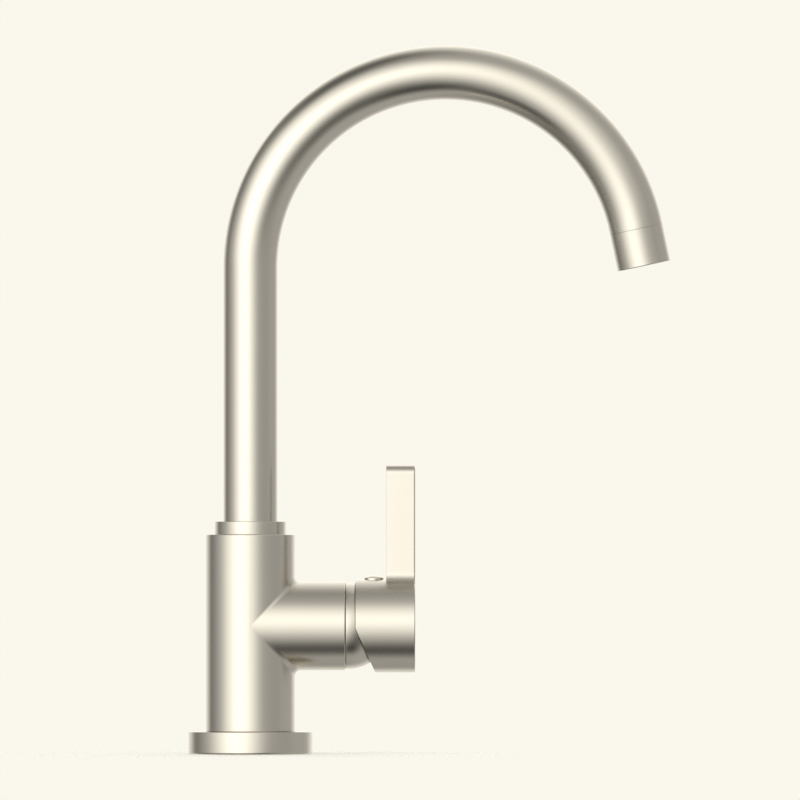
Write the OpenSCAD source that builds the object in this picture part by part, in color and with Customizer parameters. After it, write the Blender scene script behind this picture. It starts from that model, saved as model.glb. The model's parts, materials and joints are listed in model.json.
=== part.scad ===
// Gooseneck bar faucet with a side lever: one hole in the deck, a swivel spout and a ceramic disc cartridge.
// Millimetres, +Z up. The origin is on the body's axis, in the plane of the deck.
// The side hub, the cartridge and the lever point along +X, and the spout's outlet rests over +X too.

/* [Body] */
// Outside diameter shared by the upright body and the side hub, which meet in a mitred V
body_d = 41.2; // [40.6:0.2:46]
// Height of the body's top above the deck
body_h = 101.8; // [100:0.2:130]
// Height of the side hub's axis above the deck
hub_z = 59.5; // [57:0.5:61]
// Distance from the body's axis to the side hub's end face
hub_reach = 43.9; // [43:0.1:60]
// Radius of the casting's blend between the hub and the body
blend_r = 3; // [2:0.1:4]
// Rounding of the visible edges
edge_r = 0.5; // [0.2:0.1:0.7]

/* [Deck flange] */
// Outside diameter of the deck flange
flange_d = 57.4; // [56:0.2:75]
// Height of the deck flange
flange_h = 10.4; // [7:0.2:14]
// Diameter of the body's spigot inside the flange
spigot_d = 34; // [33:0.5:36]
// Width of the deck gasket across its ring
gasket_w = 5; // [3:0.5:5.5]
// Thickness of the deck gasket
gasket_t = 2.2; // [1.5:0.1:3]

/* [Underside] */
// Diameter of the socket that takes the mounting shank
shank_d = 28; // [27.5:0.1:29]
// Depth of the shank socket
shank_depth = 16; // [12:0.5:18]
// Diameter of each supply hose port
hose_port_d = 9; // [8:0.1:9.4]
// Depth of each supply hose port
hose_port_depth = 12; // [9:0.5:14]
// Distance between the centres of the two hose ports
hose_spacing = 18; // [17:0.1:18]
// Diameter of the drillings that carry hot and cold water
inlet_d = 6.4; // [5:0.2:7]
// Diameter of the drillings that carry mixed water
mixed_d = 8; // [6:0.2:8.4]

/* [Cartridge] */
// Outside diameter of the cartridge
cart_d = 35; // [34.4:0.1:35.4]
// Depth of the cartridge chamber behind the hub's end face
chamber_depth = 27.9; // [27.4:0.1:30]
// Wall of the cartridge housing
housing_wall = 1.8; // [1.5:0.1:2]
// Thickness of the cartridge base plate
base_t = 5.5; // [5:0.1:6]
// Thickness of the fixed ceramic disc
fixed_disc_t = 3.5; // [3:0.1:4]
// Thickness of the moving ceramic disc
moving_disc_t = 3; // [2.6:0.1:3.4]
// Diameter of the moving ceramic disc and of its carrier
moving_disc_d = 25; // [24.6:0.1:25.4]
// Thickness of the carrier that the stem's ball drives
disc_carrier_t = 5.1; // [4.8:0.1:5.4]
// Diameter of the turning stem carrier inside the cartridge's neck
carrier_d = 18.4; // [18:0.1:18.8]
// Outside diameter of the cartridge's neck
neck_d = 22; // [21.4:0.1:22.2]
// Length of the bonnet nut's thread
nut_thread = 5.9; // [5:0.1:6.4]
// Width across the flats of the bonnet nut's key
nut_key = 24; // [23.4:0.1:24.4]
// Diameter of the stem's ball
ball_d = 5.6; // [5:0.1:5.8]
// Diameter of the stem's pivot pin
pivot_pin_d = 3; // [2.5:0.1:3.4]

/* [Bonnet] */
// Gap between the domed bonnet and the skirt of the lever's hub
dome_gap = 0.4; // [0.35:0.05:0.75]
// Wall of the domed bonnet
dome_wall = 2.2; // [1.8:0.1:2.4]
// Distance from the hub's end face to the lever's pivot
pivot_reach = 1.2; // [1:0.1:1.4]
// Distance from the pivot to the bonnet's open lip
dome_reach = 10.5; // [9.5:0.1:10.8]

/* [Lever] */
// Outside diameter of the lever's hub
handle_d = 43.2; // [43:0.1:46]
// Distance from the pivot to the rim of the lever's hub
handle_start = 3.5; // [3.3:0.1:4.5]
// Length of the lever's hub along its axis
handle_len = 27.65; // [26.5:0.05:34]
// Wall of the lever hub's skirt
skirt_wall = 1.25; // [1:0.05:1.4]
// Distance of the slanted skirt cut from the pivot
skirt_gap = 3; // [2.6:0.1:3.2]
// Travel of the lever from shut to fully open
lift_deg = 24; // [20:1:24]
// Width of the lever blade along the hub's axis
blade_w = 13.4; // [12:0.1:14]
// Thickness of the lever blade at its round top
blade_t = 8; // [6:0.1:9]
// Draft of the blade's two faces, which thickens it towards the foot
blade_draft = 2.4; // [0:0.1:3]
// Height of the lever's top above the hub's axis
blade_top = 74.3; // [50:0.1:110]
// Radius of the concave fillets at the blade's foot
foot_r = 5.3; // [3:0.1:6]
// Rounding of the blade's outer edge
blade_edge_r = 0.7; // [0.3:0.1:1]
// Width across the stem's square end
stem_square = 8; // [7.4:0.1:8.4]
// Diameter of the set screw
screw_d = 5; // [4:0.1:5.2]
// Length of the set screw
screw_len = 7; // [5:0.1:7.5]
// Diameter of the index button that covers the set screw
button_d = 9; // [8:0.1:10]
// Height of the index button above the lever hub's crest
button_h = 1.8; // [1:0.1:2.2]

/* [Spout] */
// Outside diameter of the spout tube
tube_d = 25; // [24:0.1:25.4]
// Wall of the spout tube
tube_wall = 1.5; // [1.2:0.1:1.8]
// Height from the body's top to the centre of the spout's bend
spout_rise = 123.6; // [60:0.1:200]
// Radius of the bend along the middle of the tube
arc_r = 90.2; // [60:0.1:120]
// Angle that the bend turns through
arc_deg = 168; // [150:1:180]
// Straight length of tube after the bend
tail_len = 1.2; // [1:0.1:10]
// Length of the outlet sleeve that shows
sleeve_len = 17.1; // [15.5:0.1:20]
// Outside diameter of the collar on the body's top
collar_d = 33; // [32:0.1:36]
// Height of the collar above the body's top
collar_h = 6; // [4:0.1:9]
// Diameter of the collar's thread inside the body
collar_thread_d = 30; // [29:0.1:31]
// Length of the collar's thread inside the body
collar_thread = 9.8; // [8:0.1:10.4]
// Thickness of the two slip rings
slip_t = 1; // [0.8:0.1:1.2]
// Thickness of the spout foot's shoulder
shoulder_t = 3; // [2.5:0.1:3.5]
// Diameter of the seal bore under the collar
seal_d = 22; // [20:0.1:22.4]
// Length of the seal bore
seal_len = 14; // [12:0.1:14.4]
// Diameter of the waterway through the spout's foot
foot_bore_d = 14; // [12:0.1:15]
// Thickness of the spout's sealing rings
seal_ring_d = 1.5; // [1.2:0.1:1.7]

/* [Outlet] */
// Diameter of the aerator
aerator_d = 20.6; // [20:0.1:21]
// Wall of the aerator's cup
aerator_wall = 1.2; // [1:0.1:1.4]
// Width across the flats of one straightener cell
cell_w = 2.5; // [2.2:0.1:2.7]
// Thickness of the ribs between the cells
cell_rib = 0.5; // [0.4:0.1:0.7]

/* [Clearances] */
// Radial gap of a turning fit
run_gap = 0.1; // [0.05:0.01:0.1]
// Radial gap of a thread or of a pressed seat
seat_gap = 0.05; // [0.03:0.01:0.1]
// Gap between pieces that pass each other without touching
free_gap = 0.3; // [0.2:0.05:0.4]

/* [Hidden] */
$fn = 96;

nickel = "#c9c3b4";
brass = "#c8a24a";
steel = "#b9bcc0";
ceramic = "#f1efe8";
rubber = "#26262a";
grey_plastic = "#8d9096";
white_plastic = "#e8e8e4";

// Radii that several pieces share
body_r = body_d / 2;
tube_r = tube_d / 2;
tube_bore_r = tube_r - tube_wall;
cart_r = cart_d / 2;
chamber_r = cart_r + run_gap;
handle_r = handle_d / 2;
dome_r = handle_r - skirt_wall - dome_gap;
neck_bore_r = carrier_d / 2 + run_gap;
gasket_margin = 2.2;

// Overshoot of a cutting solid past the face that it opens
over = 1;

// The step by which one round surface stands back from the next where a bend or a fillet starts
hair = 0.02;

// The swivel stack, downwards from the body's top
skirt_z = body_h - collar_thread;
shoulder_z = skirt_z - slip_t - shoulder_t;
counter_z = shoulder_z - slip_t;
seal_floor_z = counter_z - seal_len;
counter_r = collar_thread_d / 2 + seat_gap;
shoulder_r = collar_thread_d / 2 - free_gap;
foot_r_seal = seal_d / 2 - run_gap;
foot_end_gap = 1;
foot_sleeve = 12;
tube_z = shoulder_z + shoulder_t;
groove_d = seal_ring_d + seat_gap;
groove_play = 0.5;
groove_w = seal_ring_d + groove_play;
seal_shares = [0.3, 0.7];
arc_z = body_h + spout_rise;

// The cartridge stack, outwards from the seat in the body
seat_x = hub_reach - chamber_depth;
base_flange_t = 3.2;
fixed_x = seat_x + base_t;
moving_x = fixed_x + fixed_disc_t;
carrier_x = moving_x + moving_disc_t;
guide_x = carrier_x + disc_carrier_t + free_gap;
guide_flange_t = 2.1;
housing_front_t = 2;
front_x = guide_x + guide_flange_t + free_gap - run_gap;
nut_x = front_x + housing_front_t;
pivot_x = hub_reach + pivot_reach;
housing_bore_r = cart_r - housing_wall;
guide_proud = 1.7;
guide_end_x = pivot_x + guide_proud;
neck_end_x = guide_end_x + run_gap;

// The ports in the cartridge's base, as places across the hub's axis
inlet_y = 6.2;
inlet_rise = 4.2;
outlet_drop = 6;
port_recess_r = 4.8;
port_recess_t = 1.6;
inlet_port_r = 2.8;
outlet_port_r = 4;
seal_wall = 1.4;
key_notch_r = 1.6;
peg_r = 1.8;
peg_len = 2;
peg_y = 12.6;
mixed_shift = 5.5;

// The moving disc's mixing chamber and the two lugs that drive it
mixing_r = 4.3;
mixing_len = 10;
mixing_share = 0.6;
lug_r = 1.4;
lug_h = 1.2;
lug_y = 9;

// The stem's ball drives the discs across the seat as the lever lifts
socket_floor = 0.6;
socket_mouth = 0.8;
ball_x = carrier_x + ball_d / 2 + socket_mouth;
ball_arm = pivot_x - ball_x;
disc_travel = ball_arm * sin(lift_deg);
disc_centre = -disc_travel / 2;
ball_socket_r = ball_d / 2 + 2 * run_gap;
pin_inset = 0.6;
slot_gap = 0.15;
bar_t = 6;
bar_h = 7;
bar_reach = 7;
shank_r = 1.9;
square_start = 4;
square_end = 25;
screw_place = 12;
boss_start = 8;

// The bonnet nut and the collar of the bonnet on it
nut_neck_r = 15.6;
nut_neck = 3;
nut_bore_r = neck_d / 2 + free_gap;
bonnet_seal_d = 1;
seal_proud = 0.15;
nut_groove_w = bonnet_seal_d * 1.4;
nut_groove_t = bonnet_seal_d - seal_proud + seat_gap;
key_start = 2.5;
bonnet_collar = 3;

// The lever's hub
rim_x = pivot_x + handle_start;
handle_end_x = rim_x + handle_len;
end_wall = 3.75;
core_step = 11.4;
core_wall = 3;
boss_r = 7;
screw_boss_r = 4.5;
screw_boss_top = 12;
blade_x = handle_end_x - blade_w;
tenon_w = 7;
tenon_t = 5.2;
tenon_depth = 7;
pad_w = 10;
pad_t = 11;
button_sink = 0.6;
button_seat_z = handle_r - button_sink;
button_plug_r = 2.5;
button_plug = 2;
button_rim = 1.1;
screw_key = 2.5;
rim_r = 0.2;

// The outlet, along the water's way from the end of the bend
outlet_r = tube_r;
socket_depth = 2.3;
sleeve_start = tail_len;
sleeve_end = sleeve_start + sleeve_len;
socket_r = tube_bore_r + 2 * run_gap;
aerator_r = aerator_d / 2;
aerator_inset = 1;
seam_r = 0.3;
sleeve_wall = 1.4;
washer_w = 2.4;
washer_t = 1.5;
cup_end = sleeve_end - aerator_inset;
cup_place = 6.4;
cup_start = sleeve_start + cup_place;
ledge = cup_start - washer_t;
cup_lip = 1;
cup_lip_w = 0.8;
key_r = 1.3;
key_h = 1.6;
insert_r = aerator_r - aerator_wall - seat_gap;
regulator_t = 2.2;
regulator_holes = 12;
regulator_hole_r = 0.8;
screen_t = 0.6;

// Places its children on the side hub's axis: x runs along global Y, y along Z and z along X
module along_hub(x) {
    translate([x, 0, hub_z]) rotate([90, 0, 90]) children();
}

// Places its children past the end of the bend, with +Z along the water's way and +X to the bend's outer side
module at_outlet(s) {
    translate([arc_r, 0, arc_z])
        rotate([0, arc_deg, 0])
            translate([-arc_r, 0, s])
                rotate([0, 0, 180])
                    children();
}

// A turned disc or drum with its lower and upper outside edges rounded
module turned(r, h, low = edge_r, high = edge_r) {
    rotate_extrude() {
        translate([0, low]) square([r, h - low - high]);
        square([r - low, h]);
        intersection() {
            union() {
                translate([r - low, low]) circle(low);
                translate([r - high, h - high]) circle(high);
                square([r - max(low, high), h]);
            }
            square([r, h]);
        }
    }
}

// A plain drilling from one height to another
module drill(r, z0, z1) {
    translate([0, 0, z0]) cylinder(r = r, h = z1 - z0);
}

// A flat ring between two radii
module ring(outer, inner, t) {
    difference() {
        cylinder(r = outer, h = t);
        translate([0, 0, -over]) cylinder(r = inner, h = t + 2 * over);
    }
}

// A round sealing ring
module round_ring(centre_r, thick) {
    rotate_extrude() translate([centre_r, 0]) circle(d = thick, $fn = 32);
}

// The point of the blend's surface: a is the place round the hub's axis, t runs from the body to the hub
function blend_point(a, t, side) =
    let (
        big = body_r + blend_r,
        centre = [big * sin(a), -side * big * cos(a), big * sin(a)],
        n_body = [sin(a), -side * cos(a), 0],
        n_hub = [0, -side * cos(a), sin(a)],
        span = acos(n_body * n_hub),
        mix = (n_body * sin(span * (1 - t)) + n_hub * sin(span * t)) / sin(span)
    )
    centre - blend_r * mix;

// A point inside both cylinders, behind the blend
function blend_root(a, side) =
    let (inner = body_r - blend_r * 0.4)
    [inner * sin(a), -side * inner * cos(a), inner * sin(a)];

// The casting's blend on one quarter of the mitre, swept from near the V's tip to the top of the hub
module blend_quarter(side) {
    first = 14;
    last = 90;
    rings = 14;
    arcs = 6;
    into = 0.06;
    n = arcs + 2;
    points = [
        for (i = [0 : rings])
            let (a = first + (last - first) * i / rings)
            for (k = [0 : n - 1])
                k == n - 1 ? blend_root(a, side) : blend_point(a, -into + (1 + 2 * into) * k / arcs, side)
    ];
    quads = [
        for (i = [0 : rings - 1]) for (k = [0 : n - 1])
            let (p = i * n + k, q = i * n + (k + 1) % n)
            each [[p, p + n, q], [q, p + n, q + n]]
    ];
    caps = [[for (k = [0 : n - 1]) k], [for (k = [n - 1 : -1 : 0]) rings * n + k]];
    faces = concat(quads, caps);
    polyhedron(points, side > 0 ? faces : [for (f = faces) [for (k = [len(f) - 1 : -1 : 0]) f[k]]]);
}

// Waterways of the body: two inlets to the cartridge's seat, and the mixed water's way up to the spout
module waterways() {
    for (side = [-1, 1]) {
        translate([0, side * hose_spacing / 2, 0]) {
            drill(hose_port_d / 2, shank_depth - over, shank_depth + hose_port_depth);
            drill(inlet_d / 2, shank_depth, hub_z + inlet_rise);
        }
        slanted_inlet(side);
    }
    translate([0, 0, hub_z - outlet_drop]) rotate([0, 90, 0])
        translate([0, 0, -mixed_shift]) cylinder(d = mixed_d, h = seat_x + mixed_shift + over);
    translate([-mixed_shift, 0, 0]) drill(mixed_d / 2, hub_z - outlet_drop, seal_floor_z + over);
}

// The slanted drilling from the cartridge's seat to an inlet's top
module slanted_inlet(side) {
    from = [seat_x + over, side * inlet_y, hub_z + inlet_rise];
    to = [0, side * hose_spacing / 2, hub_z + inlet_rise];
    way = to - from;
    translate(from)
        rotate([0, 90, atan2(way[1], way[0])])
            cylinder(d = inlet_port_r * 2, h = norm(way));
    translate(to) sphere(d = inlet_d);
}

module body() {
    color(nickel)
    difference() {
        union() {
            cylinder(d = spigot_d, h = flange_h + over);
            translate([0, 0, flange_h]) turned(body_r, body_h - flange_h);
            intersection() {
                along_hub(0) turned(body_r, hub_reach);
                translate([0, -body_r - over, 0]) cube([hub_reach + over, body_d + 2 * over, body_h]);
            }
            translate([0, 0, hub_z])
                for (side = [-1, 1]) {
                    blend_quarter(side);
                    mirror([0, 0, 1]) blend_quarter(side);
                }
        }
        drill(shank_d / 2, -over, shank_depth);
        waterways();
        drill(seal_d / 2, seal_floor_z, counter_z + over);
        drill(counter_r, counter_z, body_h + over);
        along_hub(seat_x) cylinder(r = chamber_r, h = chamber_depth + over);
        along_hub(seat_x)
            for (side = [-1, 1])
                translate([side * peg_y, 0, -peg_len - free_gap])
                    cylinder(r = peg_r + run_gap, h = peg_len + over);
    }
}

module base_flange() {
    color(nickel)
    difference() {
        turned(flange_d / 2, flange_h, edge_r * 2, edge_r);
        drill(spigot_d / 2 + seat_gap, -over, flange_h + over);
        gasket_ring(gasket_t + seat_gap, seat_gap, -over);
    }
}

// The gasket's ring, or its groove when it is given a side gap
module gasket_ring(top, gap, bottom) {
    outer = flange_d / 2 - gasket_margin;
    translate([0, 0, bottom]) ring(outer + gap, outer - gasket_w - gap, top - bottom);
}

module deck_gasket() {
    color(rubber) gasket_ring(gasket_t, 0, 0);
}

// The three ports across the cartridge's base, drilled to the given radii
module three_ports(inlet_r, outlet_r, z0, z1) {
    for (side = [-1, 1]) translate([side * inlet_y, inlet_rise]) drill(inlet_r, z0, z1);
    translate([0, -outlet_drop]) drill(outlet_r, z0, z1);
}

module cartridge_base() {
    color(white_plastic)
    along_hub(seat_x)
    difference() {
        union() {
            cylinder(r = cart_r, h = base_flange_t);
            cylinder(r = housing_bore_r - seat_gap, h = base_t);
            for (side = [-1, 1])
                translate([side * peg_y, 0, -peg_len]) cylinder(r = peg_r, h = peg_len + over);
        }
        three_ports(inlet_port_r, outlet_port_r, -over, base_t + over);
        three_ports(port_recess_r, port_recess_r, -over, port_recess_t);
    }
}

module port_seals() {
    color(rubber)
    along_hub(seat_x)
    difference() {
        three_ports(port_recess_r - seat_gap, port_recess_r - seat_gap, 0, port_recess_t);
        three_ports(inlet_port_r, port_recess_r - seal_wall, -over, port_recess_t + over);
    }
}

module fixed_disc() {
    color(ceramic)
    along_hub(fixed_x)
    difference() {
        cylinder(r = housing_bore_r - run_gap, h = fixed_disc_t);
        three_ports(inlet_port_r, outlet_port_r, -over, fixed_disc_t + over);
        for (side = [-1, 1])
            translate([side * housing_bore_r, 0, 0]) drill(key_notch_r, -over, fixed_disc_t + over);
    }
}

// The two lugs that key the moving disc to its carrier
module drive_lugs(gap) {
    for (side = [-1, 1]) translate([side * lug_y, 0]) cylinder(r = lug_r + gap, h = lug_h + gap);
}

module moving_disc() {
    mixing_depth = moving_disc_t * mixing_share;
    color(ceramic)
    along_hub(moving_x)
    difference() {
        translate([0, disc_centre]) cylinder(d = moving_disc_d, h = moving_disc_t);
        translate([0, disc_centre, moving_disc_t - lug_h - seat_gap]) drive_lugs(seat_gap * 2);
        drill(mixing_r, -over, mixing_depth);
        translate([-mixing_r, -mixing_len, -over])
            cube([2 * mixing_r, mixing_len, over + mixing_depth]);
    }
}

module disc_carrier() {
    color(grey_plastic)
    along_hub(carrier_x)
    difference() {
        translate([0, disc_centre]) {
            cylinder(d = moving_disc_d, h = disc_carrier_t);
            translate([0, 0, -lug_h]) drive_lugs(0);
        }
        drill(ball_socket_r, socket_floor, disc_carrier_t + over);
        translate([0, 0, disc_carrier_t - socket_mouth])
            cylinder(r1 = ball_socket_r, r2 = ball_socket_r + 2 * socket_mouth, h = 2 * socket_mouth);
    }
}

// The slot that lets the stem swing: places are measured from the pivot, along the hub and upwards
module stem_slot() {
    swing = tan(lift_deg);
    low = bar_h / 2 + slot_gap;
    lean = bar_h / 2 / cos(lift_deg) + slot_gap;
    deep = pivot_x - guide_x + over;
    out = guide_end_x - pivot_x + over;
    translate([pivot_x, 0, hub_z])
        rotate([90, 0, 0])
            linear_extrude(bar_t + 2 * run_gap, center = true)
                polygon([
                    [-deep, -low], [0, -lean], [out, -lean - out * swing], [out, low], [0, lean],
                    [-bar_reach, lean + bar_reach * swing], [-deep, disc_travel + ball_d / 2 + 2 * free_gap]
                ]);
}

module stem_carrier() {
    color(grey_plastic)
    difference() {
        along_hub(0) {
            translate([0, 0, guide_x]) cylinder(r = housing_bore_r - free_gap, h = guide_flange_t);
            translate([0, 0, guide_x]) cylinder(d = carrier_d, h = guide_end_x - guide_x);
        }
        stem_slot();
        translate([pivot_x, 0, hub_z]) rotate([90, 0, 0])
            cylinder(d = pivot_pin_d + 2 * seat_gap, h = carrier_d + 2 * over, center = true);
    }
}

module pivot_pin() {
    color(steel)
    translate([pivot_x, 0, hub_z]) rotate([90, 0, 0])
        cylinder(d = pivot_pin_d, h = carrier_d - 2 * pin_inset, center = true);
}

module stem() {
    color(steel)
    translate([pivot_x, 0, hub_z])
    difference() {
        union() {
            translate([-bar_reach, -bar_t / 2, -bar_h / 2]) cube([bar_reach + square_start, bar_t, bar_h]);
            translate([square_start, -stem_square / 2, -stem_square / 2])
                cube([square_end - square_start, stem_square, stem_square]);
            translate([-ball_arm, 0, 0]) {
                sphere(d = ball_d);
                rotate([0, 90, 0]) cylinder(r = shank_r, h = ball_arm - bar_reach + over);
            }
        }
        rotate([90, 0, 0]) cylinder(d = pivot_pin_d + 2 * run_gap, h = bar_t + 2 * over, center = true);
    }
}

module cartridge_housing() {
    color(white_plastic)
    along_hub(0)
    difference() {
        union() {
            drill(cart_r, seat_x + base_flange_t, nut_x);
            drill(neck_d / 2, nut_x, neck_end_x);
        }
        drill(housing_bore_r, seat_x, front_x);
        drill(neck_bore_r, front_x - over, neck_end_x + over);
    }
}

module cartridge_nut() {
    key_depth = nut_neck + nut_thread - key_start;
    color(brass)
    along_hub(nut_x)
    difference() {
        union() {
            cylinder(r = cart_r, h = nut_thread);
            difference() {
                cylinder(r = nut_neck_r, h = nut_thread + nut_neck);
                translate([0, 0, nut_thread + (nut_neck - nut_groove_w) / 2])
                    ring(nut_neck_r + over, nut_neck_r - nut_groove_t, nut_groove_w);
            }
        }
        translate([0, 0, -over]) cylinder(r = nut_bore_r, h = nut_thread + nut_neck + 2 * over);
        translate([0, 0, nut_thread + nut_neck - key_depth])
            cylinder(d = nut_key / cos(30), h = key_depth + over, $fn = 6);
    }
}

module bonnet() {
    reach = pivot_reach + dome_reach;
    hollow_r = dome_r - dome_wall;
    color(nickel)
    along_hub(hub_reach)
    rotate_extrude()
    difference() {
        union() {
            square([dome_r, pivot_reach]);
            intersection() {
                translate([0, pivot_reach]) circle(dome_r);
                square([dome_r, reach]);
            }
        }
        translate([-over, -over]) square([nut_neck_r + 2 * run_gap + over, bonnet_collar + 2 * over]);
        intersection() {
            translate([0, pivot_reach]) circle(hollow_r);
            translate([-over, bonnet_collar]) square([hollow_r + over, reach]);
        }
    }
}

module bonnet_seal() {
    color(rubber)
    along_hub(nut_x + nut_thread + nut_neck / 2)
        round_ring(nut_neck_r + seal_proud - bonnet_seal_d / 2, bonnet_seal_d);
}

// The lever hub's hollow: a wide skirt over the bonnet and a narrower core behind it, round the stem's boss
module handle_core() {
    step_x = rim_x + core_step;
    core_x = handle_end_x - end_wall;
    difference() {
        along_hub(0) {
            drill(handle_r - skirt_wall, rim_x - over, step_x);
            drill(handle_r - core_wall, step_x - over, core_x);
        }
        along_hub(pivot_x + boss_start) cylinder(r = boss_r, h = handle_len);
        translate([pivot_x + screw_place, 0, hub_z]) cylinder(r = screw_boss_r, h = screw_boss_top);
        translate([core_x - pad_w, -pad_t / 2, hub_z]) cube([pad_w + over, pad_t, handle_r]);
    }
}

// The lower half of the skirt leans back by the lever's travel, so that it clears the hub when open
module skirt_cut() {
    translate([pivot_x + skirt_gap, 0, hub_z])
        rotate([0, -lift_deg, 0])
            translate([-handle_d, -handle_d, -handle_d * 2])
                cube([handle_d, handle_d * 2, handle_d * 2]);
}

module handle_hub() {
    socket_w = stem_square + 2 * seat_gap;
    color(nickel)
    difference() {
        along_hub(rim_x) turned(handle_r, handle_len, rim_r, edge_r);
        handle_core();
        skirt_cut();
        translate([pivot_x + boss_start - over, -socket_w / 2, hub_z - socket_w / 2])
            cube([square_end - boss_start + over + free_gap, socket_w, socket_w]);
        translate([pivot_x + screw_place, 0, hub_z]) {
            cylinder(d = screw_d + 2 * seat_gap, h = screw_boss_top + over);
            drill(button_plug_r + seat_gap, screw_boss_top, handle_r + over);
            drill(button_d / 2 + seat_gap, button_seat_z, handle_r + over);
        }
        tenon(seat_gap);
    }
}

// The lever's tenon, or its socket when it is given a side gap
module tenon(gap) {
    middle = blade_x + blade_w / 2;
    translate([middle - tenon_w / 2 - gap, -tenon_t / 2 - gap, hub_z + handle_r - tenon_depth - gap])
        cube([tenon_w + 2 * gap, tenon_t + 2 * gap, tenon_depth + over]);
}

// Places across the blade, measured from the hub's axis: the round top, the face and the fillet at the foot
blade_top_r = blade_t / 2;
blade_round_z = blade_top - blade_top_r;
face_normal = [cos(blade_draft), sin(blade_draft)];
face_way = [sin(blade_draft), -cos(blade_draft)];
face_top = [0, blade_round_z] + blade_top_r * face_normal;
foot_reach = handle_r + foot_r;
face_offset = [0, blade_round_z] + (blade_top_r + foot_r) * face_normal;
face_len = blade_round_z * cos(blade_draft)
    - sqrt(pow(blade_round_z * cos(blade_draft), 2) - face_offset * face_offset + pow(foot_reach, 2));
foot_centre = face_offset + face_len * face_way;
face_end = foot_centre - foot_r * face_normal;
foot_end = foot_centre * handle_r / foot_reach;

// The blade's outline across its width: a full round top, drafted faces and a foot that flares on to the hub
module blade_outline() {
    difference() {
        union() {
            translate([0, blade_round_z]) circle(blade_top_r);
            for (side = [0, 1])
                mirror([side, 0])
                    polygon([[0, 0], foot_end, face_end, face_top, [0, blade_round_z]]);
        }
        for (side = [0, 1]) mirror([side, 0]) translate(foot_centre) circle(foot_r);
        circle(handle_r + seat_gap);
    }
}

// What a rounding takes off an outer edge: a square corner less its round
module edge_corner(r) {
    difference() {
        square(r + over);
        circle(r);
    }
}

// The rounding of the outer edge, which eases by a hair from the round top to the faces and to the fillets
module blade_edges() {
    top_r = blade_edge_r;
    face_r = top_r - hair;
    fillet_r = face_r - hair;
    face_start = face_top - face_r * face_normal;
    rise = blade_edge_r - face_r;
    translate([0, blade_round_z, 0])
        rotate([0, 0, blade_draft])
            rotate_extrude(angle = 180 - 2 * blade_draft)
                translate([blade_top_r - top_r, 0]) edge_corner(top_r);
    for (side = [0, 1])
        mirror([side, 0, 0]) {
            translate([face_start[0], face_start[1], rise])
                rotate([0, 0, blade_draft]) rotate([90, 0, 0])
                    linear_extrude(face_len) edge_corner(face_r);
            translate([foot_centre[0], foot_centre[1], 2 * rise])
                rotate([0, 0, 180 + blade_draft])
                    rotate_extrude(angle = atan2(foot_centre[1], foot_centre[0]) - blade_draft + 2)
                        translate([foot_r + fillet_r, 0]) mirror([1, 0]) edge_corner(fillet_r);
        }
}

module lever_blade() {
    color(nickel) {
        difference() {
            along_hub(blade_x) linear_extrude(blade_w) blade_outline();
            along_hub(handle_end_x - blade_edge_r) blade_edges();
        }
        intersection() {
            tenon(0);
            along_hub(blade_x) cylinder(r = handle_r + 2 * seat_gap, h = blade_w);
        }
    }
}

module set_screw() {
    color(steel)
    translate([pivot_x + screw_place, 0, hub_z + stem_square / 2])
    difference() {
        cylinder(d = screw_d, h = screw_len);
        translate([0, 0, screw_len - screw_key])
            cylinder(d = screw_key / cos(30), h = screw_key + over, $fn = 6);
    }
}

module index_button() {
    crown = handle_r + button_h - button_seat_z - button_rim;
    crown_r = (pow(button_d / 2, 2) + pow(crown, 2)) / (2 * crown);
    color("white")
    translate([pivot_x + screw_place, 0, hub_z + button_seat_z]) {
        cylinder(d = button_d, h = button_rim);
        translate([0, 0, -button_plug]) cylinder(r = button_plug_r, h = button_plug);
        intersection() {
            cylinder(d = button_d, h = button_rim + crown + over);
            translate([0, 0, button_rim + crown - crown_r]) sphere(crown_r);
        }
    }
}

module swivel_collar() {
    color(nickel)
    difference() {
        union() {
            translate([0, 0, body_h]) turned(collar_d / 2, collar_h, edge_r / 2, edge_r);
            translate([0, 0, skirt_z]) cylinder(d = collar_thread_d, h = collar_thread + over);
        }
        drill(tube_r + run_gap, skirt_z - over, body_h + collar_h + over);
    }
}

module spout_tube() {
    color(nickel)
    difference() {
        union() {
            translate([0, 0, tube_z]) ring(tube_r, tube_bore_r, arc_z - tube_z);
            translate([arc_r, 0, arc_z]) rotate([-90, 0, 0])
                rotate([0, 0, 180]) rotate_extrude(angle = arc_deg)
                    translate([arc_r, 0]) difference() {
                        circle(tube_r);
                        circle(tube_bore_r);
                    }
            at_outlet(-over) ring(tube_r - hair, tube_bore_r + hair, tail_len + over);
        }
        at_outlet(tail_len - socket_depth) cylinder(r = socket_r, h = socket_depth + over);
    }
}

module spout_foot() {
    color(brass)
    difference() {
        union() {
            translate([0, 0, seal_floor_z + foot_end_gap])
                cylinder(r = foot_r_seal, h = shoulder_z - seal_floor_z);
            translate([0, 0, shoulder_z]) cylinder(r = shoulder_r, h = shoulder_t);
            translate([0, 0, shoulder_z]) cylinder(r = tube_bore_r - seat_gap, h = shoulder_t + foot_sleeve);
        }
        drill(foot_bore_d / 2, seal_floor_z, tube_z + foot_sleeve + over);
        for (z = seal_places())
            translate([0, 0, z - groove_w / 2]) ring(foot_r_seal + over, foot_r_seal - groove_d, groove_w);
    }
}

// Heights of the two sealing rings on the spout's foot
function seal_places() = [for (share = seal_shares) seal_floor_z + seal_len * share];

module spout_seals() {
    color(rubber)
    for (z = seal_places()) translate([0, 0, z]) round_ring(foot_r_seal - seal_ring_d / 2, seal_ring_d);
}

module slip_ring_upper() {
    color(white_plastic)
    translate([0, 0, skirt_z - slip_t]) ring(shoulder_r, tube_r + seat_gap, slip_t);
}

module slip_ring_lower() {
    color(white_plastic)
    translate([0, 0, counter_z]) ring(shoulder_r, foot_r_seal + seat_gap, slip_t);
}

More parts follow.
